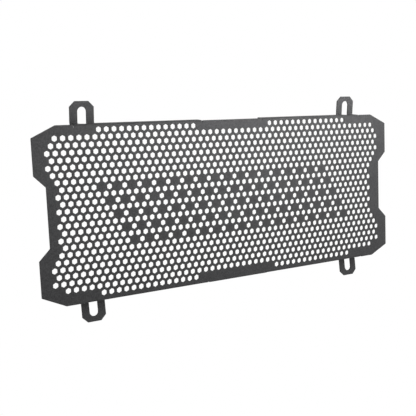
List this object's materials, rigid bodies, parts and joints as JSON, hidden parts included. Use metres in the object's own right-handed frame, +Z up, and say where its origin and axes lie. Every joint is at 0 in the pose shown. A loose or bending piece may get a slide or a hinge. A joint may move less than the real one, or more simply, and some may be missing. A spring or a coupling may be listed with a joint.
{
  "type": "motorcycle radiator guard",
  "caption": "Flat perforated sheet guard with folded top and bottom flanges and slotted tabs, made to bolt in front of a motorcycle radiator.",
  "frame": {"origin": "middle of the pattern of four tab slots, level with the tabs' rear faces at the middle of the slots", "axes": "upright as fitted: +Z up, the perforated plate faces -Y, +X to the right seen from the front"},
  "size_m": [0.3556, 0.0103, 0.1764],
  "materials": {
    "powder_coat": "matte"
  },
  "bodies": {
    "root": {"radiator_guard": "powder_coat"}
  },
  "joints": []
}
